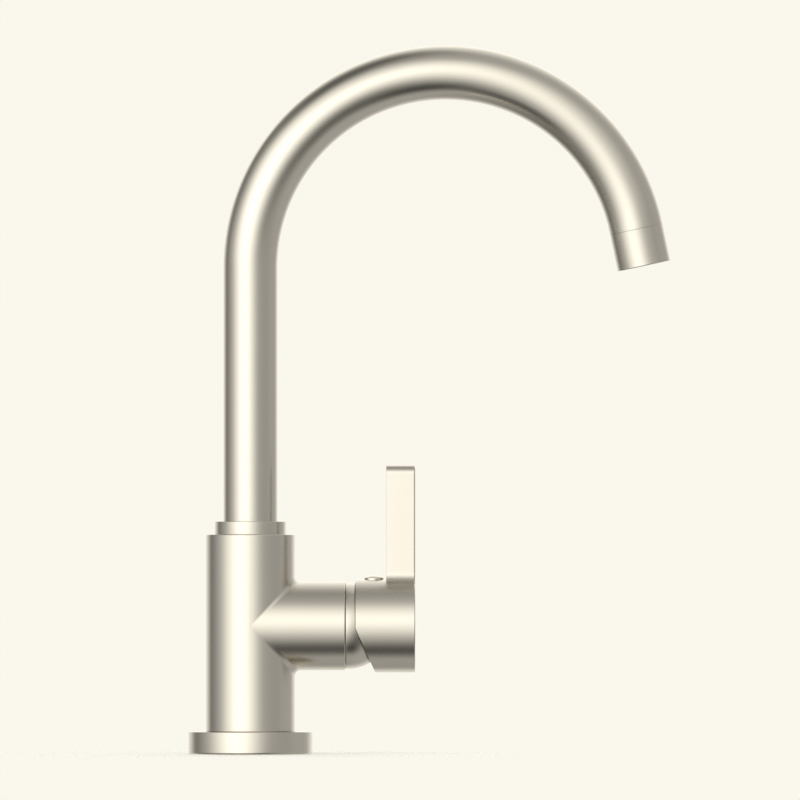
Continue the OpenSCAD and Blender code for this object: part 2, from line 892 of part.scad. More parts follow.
module outlet_sleeve() {
    spigot_r = socket_r - seat_gap;
    color(nickel)
    difference() {
        union() {
            at_outlet(sleeve_start) {
                turned(outlet_r, sleeve_len, seam_r, edge_r);
            }
            at_outlet(0) drill(spigot_r, sleeve_start - socket_depth + free_gap, sleeve_start + over);
        }
        at_outlet(0) drill(spigot_r - sleeve_wall, sleeve_start - socket_depth - over, sleeve_end);
        at_outlet(ledge) cylinder(r = aerator_r + seat_gap, h = sleeve_end);
    }
}

module aerator_washer() {
    color(rubber) at_outlet(ledge) ring(aerator_r - seat_gap, aerator_r - washer_w, washer_t);
}

module aerator_cup() {
    bore_r = aerator_r - aerator_wall;
    color(grey_plastic)
    difference() {
        at_outlet(cup_start) cylinder(r = aerator_r, h = cup_end - cup_start);
        at_outlet(cup_start - over) cylinder(r = bore_r, h = cup_end - cup_start - cup_lip + over);
        at_outlet(cup_start) cylinder(r = bore_r - cup_lip_w, h = cup_end);
        at_outlet(cup_end - key_h)
            for (a = [0 : 90 : 270])
                rotate([0, 0, a + 45])
                    translate([aerator_r, 0, 0]) cylinder(r = key_r, h = cup_end);
    }
}

module flow_regulator() {
    color(white_plastic)
    at_outlet(cup_start)
    difference() {
        cylinder(r = insert_r, h = regulator_t);
        for (i = [1 : regulator_holes])
            rotate([0, 0, i * 360 / regulator_holes]) translate([insert_r * 0.72, 0, 0])
                drill(regulator_hole_r, -over, regulator_t + over);
        drill(insert_r * 0.3, -over, regulator_t / 3);
    }
}

// Places on rings of six, twelve and eighteen round a middle one, as cells in a comb
function comb(rings, pitch) = [
    for (q = [-rings : rings]) for (r = [max(-rings, -q - rings) : min(rings, -q + rings)])
        pitch * [q + r / 2, r * sqrt(3) / 2]
];

module aerator_screen() {
    pitch = insert_r / 4.4;
    color(steel)
    at_outlet(cup_start + regulator_t)
    difference() {
        cylinder(r = insert_r, h = screen_t);
        for (p = comb(3, pitch)) translate([p[0], p[1], -over])
            cylinder(d = pitch * 0.62, h = screen_t + 2 * over, $fn = 24);
    }
}

module stream_straightener() {
    start = cup_start + regulator_t + screen_t;
    pitch = cell_w + cell_rib;
    depth = cup_end - cup_lip - start;
    color(grey_plastic)
    at_outlet(start)
    difference() {
        cylinder(r = insert_r, h = depth);
        for (p = comb(2, pitch)) translate([p[0], p[1], -over])
            rotate([0, 0, 30]) cylinder(d = cell_w / cos(30), h = depth + 2 * over, $fn = 6);
    }
}

body();
base_flange();
deck_gasket();
cartridge_base();
port_seals();
fixed_disc();
moving_disc();
disc_carrier();
stem_carrier();
pivot_pin();
stem();
cartridge_housing();
cartridge_nut();
bonnet();
bonnet_seal();
handle_hub();
lever_blade();
set_screw();
index_button();
swivel_collar();
spout_tube();
spout_foot();
spout_seals();
slip_ring_upper();
slip_ring_lower();
outlet_sleeve();
aerator_washer();
aerator_cup();
flow_regulator();
aerator_screen();
stream_straightener();
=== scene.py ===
"""The looks of a gooseneck bar faucet with a side lever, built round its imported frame."""

import json
import math
from typing import NamedTuple

import bmesh
import bpy
from bpy.props import FloatProperty, FloatVectorProperty, PointerProperty
from mathutils import Matrix, Vector


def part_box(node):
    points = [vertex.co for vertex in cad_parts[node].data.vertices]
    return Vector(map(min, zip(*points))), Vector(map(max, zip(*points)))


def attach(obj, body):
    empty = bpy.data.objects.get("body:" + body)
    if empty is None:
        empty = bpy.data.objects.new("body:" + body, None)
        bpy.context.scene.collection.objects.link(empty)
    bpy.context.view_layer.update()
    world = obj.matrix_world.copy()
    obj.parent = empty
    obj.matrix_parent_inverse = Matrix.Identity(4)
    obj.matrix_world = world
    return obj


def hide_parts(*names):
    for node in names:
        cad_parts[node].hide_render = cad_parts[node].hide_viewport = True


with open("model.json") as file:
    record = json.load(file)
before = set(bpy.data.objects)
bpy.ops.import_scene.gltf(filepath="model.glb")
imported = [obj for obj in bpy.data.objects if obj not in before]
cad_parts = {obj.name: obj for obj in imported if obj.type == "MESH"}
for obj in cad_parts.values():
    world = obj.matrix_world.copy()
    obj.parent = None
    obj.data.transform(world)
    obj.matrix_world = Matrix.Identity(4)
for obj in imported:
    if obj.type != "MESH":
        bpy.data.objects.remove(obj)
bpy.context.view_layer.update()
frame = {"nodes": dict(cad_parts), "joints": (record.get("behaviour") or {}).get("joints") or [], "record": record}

bl_info = {
    "name": "Gooseneck Bar Faucet",
    "version": (1, 0, 0),
    "blender": (4, 5, 0),
    "location": "3D View > Sidebar > Faucet",
    "description": "Builds the satin nickel looks of a gooseneck bar faucet round its packed frame",
    "category": "Add Mesh",
}

MM = 0.001
UP = Vector((0, 0, 1))
HUB_WAY = Vector((1, 0, 0))
BODY, SPOUT, LEVER = "faucet_body", "spout", "lever"

# How finely round forms are divided: full turns, then arcs
AROUND, AROUND_BUTTON, AROUND_PORT, AROUND_FLOOR = 128, 64, 48, 96
BEND_STEPS, DOME_STEPS, FILLET_STEPS, BUTTON_STEPS, BLEND_STEPS = 112, 24, 16, 12, 8

# Points this close are one, places this close count as equal, and a fillet this close to a drum runs into it
MERGE = 1e-6
SLACK = 0.02 * MM
RUN_IN = 0.1 * MM

# An edge that turns by more than this is a corner, and one that turns by less is a facet's
CORNER = math.radians(30)

# Shares of a piece's largest rounding that its other corners get
FAINT, LIGHT, STRONG = 0.2, 0.3, 0.8

# Sockets of a Mix node that mixes colours: the two that go in, and the one that comes out
MIX_A, MIX_B, MIX_RESULT = 6, 7, 2

# Grain of the finishes, in cycles to the metre
BRUSH_ACROSS, BRUSH_ALONG = 2600, 60
METAL_CLOUD, METAL_SPECK = 45, 5200
CERAMIC_GRAIN = 3500
SKIN_GRAIN, SKIN_CLOUD = 2400, 60

# Places that the frame gives
MOUNTS = {mount["name"]: mount for mount in frame["record"]["mounts"]}
JOINTS = {joint["name"]: joint for joint in frame["joints"]}
PIVOT = Vector(JOINTS["lever_lift"]["pos_m"])
LIFT = math.radians(JOINTS["lever_lift"]["range_deg"][1])


def low(node, axis):
    """The lowest place of a CAD node along an axis, 0 to 2."""
    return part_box(node)[0][axis]


def high(node, axis):
    """The highest place of a CAD node along an axis, 0 to 2."""
    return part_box(node)[1][axis]


def length(name, description, default):
    """A size in metres."""
    return FloatProperty(
        name=name, description=description, default=default, unit="LENGTH", subtype="DISTANCE", precision=5
    )


def angle(name, description, degrees):
    """An angle, whose default is written in degrees."""
    return FloatProperty(
        name=name, description=description, default=math.radians(degrees), unit="ROTATION", subtype="ANGLE"
    )


def colour(name, description, default):
    """A linear colour."""
    return FloatVectorProperty(
        name=name, description=description, default=default, size=3, min=0, max=1, subtype="COLOR"
    )


def share(name, description, default):
    """A plain number from 0 to 1."""
    return FloatProperty(name=name, description=description, default=default, min=0, max=1, subtype="FACTOR")


class FaucetSizes(bpy.types.PropertyGroup):
    """Sizes of the faucet's visible forms."""

    edge: length("Edge", "Rounding of the turned pieces' visible edges", 0.5 * MM)
    flange_edge: length("Flange edge", "Rounding of the deck flange's lower edge", 1 * MM)
    collar_edge: length("Collar edge", "Rounding of the swivel collar's edges", 0.3 * MM)
    gasket_edge: length("Gasket edge", "Rounding of the deck gasket's edges", 0.2 * MM)
    button_edge: length("Button edge", "Rounding of the index button's rim", 0.25 * MM)
    run_gap: length("Running gap", "Gap between the collar and the spout that turns in it", 0.1 * MM)
    seat_gap: length("Seat gap", "Gap round a thread or a seated ring", 0.05 * MM)
    sink: length("Sink", "Depth that the blade and the button reach into the lever's hub", 0.6 * MM)
    blend: length("Blend", "Radius of the casting's blend between the hub and the body", 2.7 * MM)
    spigot: length("Spigot", "Radius of the body's spigot inside the deck flange", 17 * MM)
    gasket_width: length("Gasket width", "Width of the deck gasket's ring", 5 * MM)
    chamber: length("Chamber", "Radius of the cartridge chamber in the hub", 17.6 * MM)
    chamber_depth: length("Chamber depth", "Depth of the cartridge chamber", 27.9 * MM)
    collar_bore: length("Collar bore", "Radius of the bore under the collar", 15.05 * MM)
    seal_bore: length("Seal bore", "Radius of the seal bore under the spout's foot", 11 * MM)
    seal_depth: length("Seal depth", "Depth of the seal bore", 14 * MM)
    counter_depth: length("Counterbore", "Depth of the collar's bore below the body's top", 14.8 * MM)
    bend: length("Bend", "Radius of the spout's bend along the middle of the tube", 90.2 * MM)
    bend_angle: angle("Bend angle", "Angle that the spout's bend turns through", 168)
    tube_wall: length("Tube wall", "Wall of the spout tube", 1.5 * MM)
    tail: length("Tail", "Straight length of tube after the bend", 1.2 * MM)
    sleeve: length("Sleeve", "Length of the outlet sleeve", 17.3 * MM)
    sleeve_bore: length("Sleeve bore", "Radius of the bore that holds the aerator", 10.35 * MM)
    sleeve_mouth: length("Sleeve mouth", "Depth of the bore that holds the aerator", 12.2 * MM)
    sleeve_ledge: length("Sleeve ledge", "Width of the ledge behind the aerator", 0.6 * MM)
    seam: length("Seam", "Rounding at the seam between the tube and the sleeve", 0.12 * MM)
    bonnet_wall: length("Bonnet wall", "Wall of the domed bonnet", 2.2 * MM)
    skirt_wall: length("Skirt wall", "Wall of the lever hub's skirt", 1 * MM)
    skirt_gap: length("Skirt gap", "Distance of the slanted skirt cut from the pivot", 3 * MM)
    blade: length("Blade", "Thickness of the lever blade at its round top", 8 * MM)
    draft: angle("Draft", "Draft of the blade's two faces", 2.4)
    foot: length("Foot", "Radius of the concave fillets at the blade's foot", 6 * MM)
    blade_edge: length("Blade edge", "Rounding of the blade's outer edge", 0.7 * MM)
    button_rim: length("Button rim", "Height of the index button's upright rim", 1.1 * MM)


class FaucetFinish(bpy.types.PropertyGroup):
    """Colours and gloss of the faucet's finishes."""

    nickel: colour("Nickel", "Satin nickel plating", (0.652, 0.623, 0.565))
    nickel_rough: share("Satin", "Roughness of the satin nickel", 0.24)
    polished: colour("Polished", "Polished plating of the index button", (0.68, 0.655, 0.6))
    polished_rough: share("Polish", "Roughness of the polished plating", 0.22)
    brass: colour("Brass", "Turned brass", (0.78, 0.55, 0.22))
    steel: colour("Steel", "Turned stainless steel", (0.58, 0.57, 0.55))
    turned_rough: share("Turning", "Roughness of turned brass and steel", 0.3)
    ceramic: colour("Ceramic", "Lapped ceramic discs", (0.83, 0.81, 0.75))
    ceramic_rough: share("Lapping", "Least roughness of the lapped ceramic", 0.22)
    rubber: colour("Rubber", "Moulded rubber", (0.02, 0.02, 0.021))
    rubber_rough: share("Rubber skin", "Roughness of the rubber", 0.6)
    grey: colour("Grey plastic", "Moulded grey plastic", (0.26, 0.27, 0.29))
    grey_rough: share("Grey skin", "Roughness of the grey plastic", 0.42)
    white: colour("White plastic", "Moulded white plastic", (0.76, 0.76, 0.72))
    white_rough: share("White skin", "Roughness of the white plastic", 0.4)


class FaucetStudio(bpy.types.PropertyGroup):
    """The plain studio: backdrop, softboxes, floor and camera."""

    pale: colour("Pale", "Colour of the floor and the backdrop", (0.956, 0.930, 0.847))
    lamp: colour("Lamp", "Colour of the softboxes and the room", (1, 0.98, 0.916))
    room: share("Room", "Brightness of the room round the object", 0.498)
    key: FloatProperty(name="Key", description="Brightness that the softbox adds", default=1.564, min=0)
    rim: share("Rim", "Brightness that the small softbox behind the object adds", 0.449)
    glow: share("Glow", "Share of the floor's brightness that it shows by itself", 0.285)
    distance: length("Distance", "Distance of the camera", 15.0)
    elevation: angle("Elevation", "Height of the camera above the horizon", 0)
    frame_width: length("Frame", "Width that the picture covers at the object", 370.4 * MM)
    target_x: length("Aim across", "Place along X at the middle of the picture", 69.2 * MM)
    target_z: length("Aim up", "Height at the middle of the picture", 164 * MM)


def sizes():
    return bpy.context.scene.faucet_sizes


def finishes():
    return bpy.context.scene.faucet_finish


def studio():
    return bpy.context.scene.faucet_studio


# Shaders


class Term:
    """A shader socket that can stand in a Python expression: each operator adds a Math node."""

    def __init__(self, shader, socket):
        self.shader, self.socket = shader, socket

    def _math(self, operation, *terms):
        return self.shader.node("ShaderNodeMath", {"operation": operation}, dict(enumerate(terms)))

    def __add__(self, other):
        return self._math("ADD", self, other)

    def __sub__(self, other):
        return self._math("SUBTRACT", self, other)

    def __rsub__(self, other):
        return self._math("SUBTRACT", other, self)

    def __mul__(self, other):
        return self._math("MULTIPLY", self, other)

    def __neg__(self):
        return self * -1

    __radd__ = __add__
    __rmul__ = __mul__

    def larger(self, other):
        return self._math("MAXIMUM", self, other)

    def arcsine(self):
        return self._math("ARCSINE", self)

    def arccosine(self):
        return self._math("ARCCOSINE", self)

    def turn_from(self, other):
        """The angle whose tangent is this term over the other one."""
        return self._math("ARCTAN2", self, other)


def opaque(tone):
    """A colour as a colour socket takes it."""
    return (*tone, 1)


def swing(noise, amount):
    """A noise from 0 to 1 as a swing about zero."""
    return (noise - 0.5) * amount


class Shader:
    """The node tree of a material or of the world."""

    def __init__(self, owner):
        owner.use_nodes = True
        self.tree = owner.node_tree
        self.tree.nodes.clear()

    def node(self, kind, settings=None, inputs=None, output=0):
        """Adds a node: its settings first, then the values or links of its sockets. Gives one output."""
        made = self.tree.nodes.new(kind)
        for name, value in (settings or {}).items():
            setattr(made, name, value)
        for socket, value in (inputs or {}).items():
            if isinstance(value, Term):
                self.tree.links.new(value.socket, made.inputs[socket])
            else:
                made.inputs[socket].default_value = value
        return Term(self, made.outputs[output]) if made.outputs else None

    def place(self):
        return self.node("ShaderNodeTexCoord", output="Object")

    def stretched(self, scale):
        """The piece's own coordinates, scaled along each axis."""
        return self.node("ShaderNodeMapping", inputs={"Vector": self.place(), "Scale": scale})

    def noise(self, place, scale=1.0, detail=2.0):
        return self.node("ShaderNodeTexNoise", inputs={"Vector": place, "Scale": scale, "Detail": detail})

    def dot(self, first, second):
        return self.node("ShaderNodeVectorMath", {"operation": "DOT_PRODUCT"}, {0: first, 1: second}, "Value")

    def ease(self, term, start, end, before=0.0, after=1.0):
        """A smooth step from one value to another between two places."""
        inputs = {"Value": term, "From Min": start, "From Max": end, "To Min": before, "To Max": after}
        return self.node("ShaderNodeMapRange", {"interpolation_type": "SMOOTHSTEP"}, inputs)

    def mix(self, factor, first, second):
        settings = {"data_type": "RGBA", "clamp_factor": True}
        return self.node("ShaderNodeMix", settings, {0: factor, MIX_A: first, MIX_B: second}, MIX_RESULT)

    def scaled(self, tone, factor):
        """A colour times a number."""
        return self.node("ShaderNodeVectorMath", {"operation": "SCALE"}, {"Vector": tone, "Scale": factor})

    def tinted(self, base, factor, spread):
        """A colour that wanders by a small share either way."""
        dark, light = (opaque(part * side for part in base) for side in (1 - spread, 1 + spread))
        return self.mix(factor, dark, light)

    def bump(self, height, depth):
        return self.node("ShaderNodeBump", inputs={"Height": height, "Distance": depth, "Strength": 1.0})

    def surface(self, inputs):
        shader = self.node("ShaderNodeBsdfPrincipled", inputs=inputs)
        self.node("ShaderNodeOutputMaterial", inputs={"Surface": shader})


def brushed_metal(name, base, rough, along, brush=1.0):
    """Plated or turned metal with fine brushing that runs round an axis, and a roughness that wanders."""
    material = bpy.data.materials.new(name)
    shader = Shader(material)
    fine = tuple(BRUSH_ACROSS if part else BRUSH_ALONG for part in along)
    lines = shader.noise(shader.stretched(fine), detail=3.0)
    cloud = shader.noise(shader.place(), METAL_CLOUD)
    speck = shader.noise(shader.place(), METAL_SPECK, detail=1.0)
    shader.surface({
        "Base Color": shader.tinted(base, cloud, spread=0.015),
        "Metallic": 1.0,
        "Roughness": rough + swing(cloud, 0.03) + swing(lines, 0.05 * brush),
        "Normal": shader.bump(lines * brush + speck * 0.5, depth=0.0015 * MM),
    })
    return material


def ceramic_disc(name, base, rough):
    """Lapped ceramic: hard, close grained and slightly glossy."""
    material = bpy.data.materials.new(name)
    shader = Shader(material)
    grain = shader.noise(shader.place(), CERAMIC_GRAIN)
    shader.surface({
        "Base Color": shader.tinted(base, grain, spread=0.03),
        "Roughness": rough + grain * 0.08,
        "Normal": shader.bump(grain, depth=0.002 * MM),
    })
    return material


def moulded(name, base, rough, grain_size=1.0):
    """Moulded plastic or rubber with a fine spark-eroded skin."""
    material = bpy.data.materials.new(name)
    shader = Shader(material)
    skin = shader.noise(shader.place(), SKIN_GRAIN / grain_size, detail=4.0)
    cloud = shader.noise(shader.place(), SKIN_CLOUD)
    shader.surface({
        "Base Color": shader.tinted(base, cloud, spread=0.05),
        "Roughness": rough + swing(skin, 0.12),
        "Normal": shader.bump(skin, depth=0.01 * MM * grain_size),
    })
    return material


def material_for(slot, along):
    """The material of a record slot, made once for each way that its brushing runs."""
    finish = finishes()
    recipes = {
        "satin_nickel": lambda name: brushed_metal(name, finish.nickel, finish.nickel_rough, along),
        "polished_cap": lambda name: brushed_metal(
            name, finish.polished, finish.polished_rough, along, brush=0.2
        ),
        "turned_brass": lambda name: brushed_metal(name, finish.brass, finish.turned_rough, along),
        "stainless": lambda name: brushed_metal(name, finish.steel, finish.turned_rough, along),
        "ceramic_disc": lambda name: ceramic_disc(name, finish.ceramic, finish.ceramic_rough),
        "black_rubber": lambda name: moulded(name, finish.rubber, finish.rubber_rough, grain_size=1.5),
        "grey_plastic": lambda name: moulded(name, finish.grey, finish.grey_rough),
        "white_plastic": lambda name: moulded(name, finish.white, finish.white_rough),
    }
    way = "XYZ"[max(range(3), key=lambda axis: abs(along[axis]))]
    name = f"{slot}_{way}"
    return bpy.data.materials.get(name) or recipes[slot](name)


# Meshes


def spun_round(bm, around=AROUND):
    """Spins all that a bmesh holds once round Z."""
    bmesh.ops.spin(
        bm, geom=bm.verts[:] + bm.edges[:], cent=(0, 0, 0), axis=UP, angle=math.tau, steps=around,
        use_merge=True,
    )
    return bm


def turned(profile, closed=False):
    """A shape turned about Z from a profile of radius and height."""
    bm = bmesh.new()
    verts = [bm.verts.new((radius, 0, height)) for radius, height in profile]
    for pair in zip(verts, verts[1:]):
        bm.edges.new(pair)
    if closed:
        bm.edges.new((verts[-1], verts[0]))
    spun_round(bm)
    bmesh.ops.remove_doubles(bm, verts=bm.verts, dist=MERGE)
    return bm


def along_hub(bm, start=0.0):
    """Lays a shape that was turned about Z on the hub's axis."""
    place = Matrix.Translation((start, 0, PIVOT.z)) @ UP.rotation_difference(HUB_WAY).to_matrix().to_4x4()
    bmesh.ops.transform(bm, matrix=place, verts=bm.verts)
    return bm


def bend_centre():
    """The centre of the spout's bend."""
    bend = sizes().bend
    return Vector((bend, 0, high("spout_tube", 2) - bend - high("spout_tube", 1)))


def at_outlet():
    """The place at the end of the spout's bend, with Z along the water's way."""
    size = sizes()
    return (
        Matrix.Translation(bend_centre())
        @ Matrix.Rotation(size.bend_angle, 4, "Y")
        @ Matrix.Translation((-size.bend, 0, 0))
    )


def near(value, other):
    return abs(value - other) < SLACK


def only(kind, parts):
    """The vertices or the edges among what an operator made."""
    return [part for part in parts if isinstance(part, kind)]


def drawn(bm, edges, way):
    """Draws open edges along a way and gives the new open edges."""
    made = bmesh.ops.extrude_edge_only(bm, edges=edges)["geom"]
    bmesh.ops.translate(bm, verts=only(bmesh.types.BMVert, made), vec=way)
    return [edge for edge in only(bmesh.types.BMEdge, made) if edge.is_boundary]


def ring_of(bm, radius, around, place):
    """Adds a circle of edges to a bmesh."""
    made = bmesh.ops.create_circle(bm, radius=radius, segments=around, matrix=place)
    return list(dict.fromkeys(edge for vert in made["verts"] for edge in vert.link_edges))


def weigh_edges(bm, weight_of, least):
    """Gives each edge that turns by more than the least angle the bevel weight that weight_of says.

    A corner without a weight stays sharp in the shading.
    """
    layer = bm.edges.layers.float.new("bevel_weight_edge")
    for edge in bm.edges:
        if len(edge.link_faces) == 2 and edge.calc_face_angle() > least:
            edge[layer] = weight_of(edge)
            edge.smooth = edge[layer] > 0 or edge.calc_face_angle() < CORNER


def finish_piece(
    bm, name, body, slot, node, rounding,
    along=UP, wall=0.0, steps=3, least=CORNER, weight_of=lambda edge: 1.0,
):
    """Closes a piece's mesh, rounds its corners, and sets it on its body in place of its CAD node."""
    bmesh.ops.remove_doubles(bm, verts=bm.verts, dist=MERGE)
    bmesh.ops.recalc_face_normals(bm, faces=bm.faces)
    if wall:
        bmesh.ops.solidify(bm, geom=bm.faces, thickness=wall)
        bmesh.ops.recalc_face_normals(bm, faces=bm.faces)
    weigh_edges(bm, weight_of, least)
    for face in bm.faces:
        face.smooth = True
    mesh = bpy.data.meshes.new(name)
    bm.to_mesh(mesh)
    bm.free()
    piece = bpy.data.objects.new(name, mesh)
    bpy.context.scene.collection.objects.link(piece)
    mesh.materials.append(material_for(slot, along))
    bevel = piece.modifiers.new("Rounded edges", "BEVEL")
    bevel.limit_method = "WEIGHT"
    bevel.width = rounding
    bevel.segments = steps
    bevel.use_clamp_overlap = False
    normals = piece.modifiers.new("Weighted normals", "WEIGHTED_NORMAL")
    normals.keep_sharp = True
    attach(piece, body)
    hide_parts(node)


# Pieces


def outer_wall(bm, radius, distance):
    """The faces of a drum's outer wall."""
    return [face for face in bm.faces if all(near(distance(vert.co), radius) for vert in face.verts)]


def cut_mitre(bm, radius, distance):
    """Cuts a drum's outer wall along both planes of the mitre."""
    for slope in (-1, 1):
        parts = outer_wall(bm, radius, distance)
        for face in parts[:]:
            parts += [*face.edges, *face.verts]
        bmesh.ops.bisect_plane(
            bm, geom=list(dict.fromkeys(parts)), dist=MERGE, plane_co=(0, 0, PIVOT.z), plane_no=(1, 0, slope)
        )


def in_hub_region(point):
    """True where the hub's drum stands proud of the mitre."""
    return point.x > abs(point.z - PIVOT.z)


def drop_walls(bm, radius, distance, inside_hub):
    """Deletes a drum's outer wall on one side of the mitre."""
    walls = outer_wall(bm, radius, distance)
    gone = [face for face in walls if in_hub_region(face.calc_center_median()) == inside_hub]
    bmesh.ops.delete(bm, geom=gone, context="FACES")


def from_body_axis(point):
    return math.hypot(point.x, point.y)


def from_hub_axis(point):
    return math.hypot(point.y, point.z - PIVOT.z)


def body_drum():
    """The upright drum with its spigot, the shank's socket below and the collar's and seal's bores above."""
    size = sizes()
    radius, top = high("body", 1), high("body", 2)
    socket = MOUNTS["shank_socket"]["dims"]
    socket_radius, socket_depth = socket["r_mm"] * MM, socket["length_mm"] * MM
    shoulder = high("base_flange", 2)
    counter = top - size.counter_depth
    floor = counter - size.seal_depth
    return turned([
        (socket_radius, socket_depth), (socket_radius, 0), (size.spigot, 0), (size.spigot, shoulder),
        (radius, shoulder), (radius, top), (size.collar_bore, top), (size.collar_bore, counter),
        (size.seal_bore, counter), (size.seal_bore, floor), (0, floor),
    ])


def hub_drum():
    """The side hub's drum, from just past the body's axis to the cartridge chamber in its end."""
    size = sizes()
    radius, reach = high("body", 1), high("body", 0)
    seat = reach - size.chamber_depth
    return along_hub(turned([
        (radius, -MM), (radius, reach), (size.chamber, reach), (size.chamber, seat), (0, seat),
    ]))


def drill_hose_ports(bm):
    """Closes the shank socket's floor round the two hose ports and sinks the ports into it."""
    depth = MOUNTS["shank_socket"]["dims"]["length_mm"] * MM
    loops = [edge for edge in bm.edges if edge.is_boundary and all(near(v.co.z, depth) for v in edge.verts)]
    for name in ("hot_hose_port", "cold_hose_port"):
        port = MOUNTS[name]
        dims = port["dims"]
        mouth = ring_of(bm, dims["r_mm"] * MM, AROUND_PORT, Matrix.Translation(port["pos_m"]))
        loops += mouth
        bmesh.ops.contextual_create(bm, geom=drawn(bm, mouth, UP * dims["length_mm"] * MM))
    bmesh.ops.triangle_fill(bm, use_beauty=True, edges=loops)


def join(target, other):
    """Adds one bmesh to another and merges what meets."""
    mesh = bpy.data.meshes.new("joined")
    other.to_mesh(mesh)
    other.free()
    target.from_mesh(mesh)
    bpy.data.meshes.remove(mesh)
    bmesh.ops.remove_doubles(target, verts=target.verts, dist=MERGE)


class FAUCET_OT_body(bpy.types.Operator):
    """Builds the cast body: two drums that meet in a mitred V with a swept blend"""

    bl_idname = "faucet.body"
    bl_label = "Body"

    def execute(self, context):
        size = sizes()
        radius, reach, top = high("body", 1), high("body", 0), high("body", 2)
        shoulder = high("base_flange", 2)
        drum, hub = body_drum(), hub_drum()
        cut_mitre(drum, radius, from_body_axis)
        drop_walls(drum, radius, from_body_axis, True)
        cut_mitre(hub, radius, from_hub_axis)
        drop_walls(hub, radius, from_hub_axis, False)
        join(drum, hub)
        drill_hose_ports(drum)

        def on_mitre(point):
            outside = near(from_body_axis(point), radius) and near(from_hub_axis(point), radius)
            return outside and near(point.x, abs(point.z - PIVOT.z))

        def weight(edge):
            """The blend's tangent length over its radius on the mitre, and a plain rounding on the rims."""
            if all(on_mitre(vert.co) for vert in edge.verts):
                return math.tan(edge.calc_face_angle() / 2)
            if all(near(vert.co.z, shoulder) for vert in edge.verts):
                return STRONG * size.edge / size.blend
            rim = all(near(vert.co.z, top) or near(vert.co.x, reach) for vert in edge.verts)
            return size.edge / size.blend if rim else 0.0

        # The mitre's corner flattens towards the tip of the V, so its slightest edges are rounded too
        finish_piece(
            drum, "body_casting", BODY, "satin_nickel", "body", size.blend,
            steps=BLEND_STEPS, least=math.radians(1), weight_of=weight,
        )
        return {"FINISHED"}


class FAUCET_OT_flange(bpy.types.Operator):
    """Builds the deck flange, grooved below for its gasket"""

    bl_idname = "faucet.flange"
    bl_label = "Deck flange"

    def execute(self, context):
        size = sizes()
        radius, height = high("base_flange", 1), high("base_flange", 2)
        gasket, top = high("deck_gasket", 1), high("deck_gasket", 2)
        inner = gasket - size.gasket_width
        gap = size.seat_gap
        bm = turned([
            (size.spigot + gap, 0), (inner - gap, 0), (inner - gap, top + gap), (gasket + gap, top + gap),
            (gasket + gap, 0), (radius, 0), (radius, height), (size.spigot + gap, height),
        ], closed=True)

        def weight(edge):
            if not near(from_body_axis(edge.verts[0].co), radius):
                return FAINT
            return 1.0 if near(edge.verts[0].co.z, 0) else LIGHT

        finish_piece(
            bm, "deck_flange", BODY, "satin_nickel", "base_flange", size.flange_edge, weight_of=weight
        )
        ring = turned([(inner, 0), (gasket, 0), (gasket, top), (inner, top)], closed=True)
        finish_piece(ring, "gasket_ring", BODY, "black_rubber", "deck_gasket", size.gasket_edge)
        return {"FINISHED"}


class FAUCET_OT_collar(bpy.types.Operator):
    """Builds the collar that is screwed into the body's top round the spout"""

    bl_idname = "faucet.collar"
    bl_label = "Swivel collar"

    def execute(self, context):
        size = sizes()
        radius, top, foot = high("swivel_collar", 1), high("swivel_collar", 2), low("swivel_collar", 2)
        seat = high("body", 2)
        bore = high("spout_tube", 1) + size.run_gap
        thread = size.collar_bore - size.seat_gap
        bm = turned([
            (bore, foot), (thread, foot), (thread, seat), (radius, seat), (radius, top), (bore, top),
        ], closed=True)
        finish_piece(
            bm, "swivel_collar_ring", BODY, "satin_nickel", "swivel_collar", size.collar_edge,
            weight_of=lambda edge: LIGHT if near(edge.verts[0].co.z, seat) else 1.0,
        )
        return {"FINISHED"}


class FAUCET_OT_spout(bpy.types.Operator):
    """Builds the spout tube: a riser, the bend and a short straight tail"""

    bl_idname = "faucet.spout"
    bl_label = "Spout tube"

    def execute(self, context):
        size = sizes()
        centre, start = bend_centre(), low("spout_tube", 2)
        bm = bmesh.new()
        ring = ring_of(bm, high("spout_tube", 1), AROUND, Matrix.Translation(UP * start))
        ring = drawn(bm, ring, UP * (centre.z - start))
        bend = bmesh.ops.spin(
            bm, geom=ring, cent=centre, axis=(0, 1, 0), angle=size.bend_angle, steps=BEND_STEPS
        )
        ring = only(bmesh.types.BMEdge, bend["geom_last"])
        drawn(bm, ring, at_outlet().to_3x3() @ (UP * size.tail))
        finish_piece(
            bm, "gooseneck_tube", SPOUT, "satin_nickel", "spout_tube", size.seam, wall=size.tube_wall, steps=2
        )
        return {"FINISHED"}


class FAUCET_OT_outlet(bpy.types.Operator):
    """Builds the outlet sleeve that holds the aerator"""

    bl_idname = "faucet.outlet"
    bl_label = "Outlet sleeve"

    def execute(self, context):
        size = sizes()
        radius = high("spout_tube", 1)
        start, end = size.tail, size.tail + size.sleeve
        ledge = end - size.sleeve_mouth
        waterway = size.sleeve_bore - size.sleeve_ledge
        bm = turned([
            (waterway, start), (radius, start), (radius, end), (size.sleeve_bore, end),
            (size.sleeve_bore, ledge), (waterway, ledge),
        ], closed=True)
        bmesh.ops.transform(bm, matrix=at_outlet(), verts=bm.verts)
        to_outlet = at_outlet().inverted()

        def weight(edge):
            at_mouth = near((to_outlet @ edge.verts[0].co).z, end)
            return STRONG if at_mouth else size.seam / size.edge

        finish_piece(
            bm, "outlet_sleeve_ring", SPOUT, "satin_nickel", "outlet_sleeve", size.edge, weight_of=weight
        )
        return {"FINISHED"}


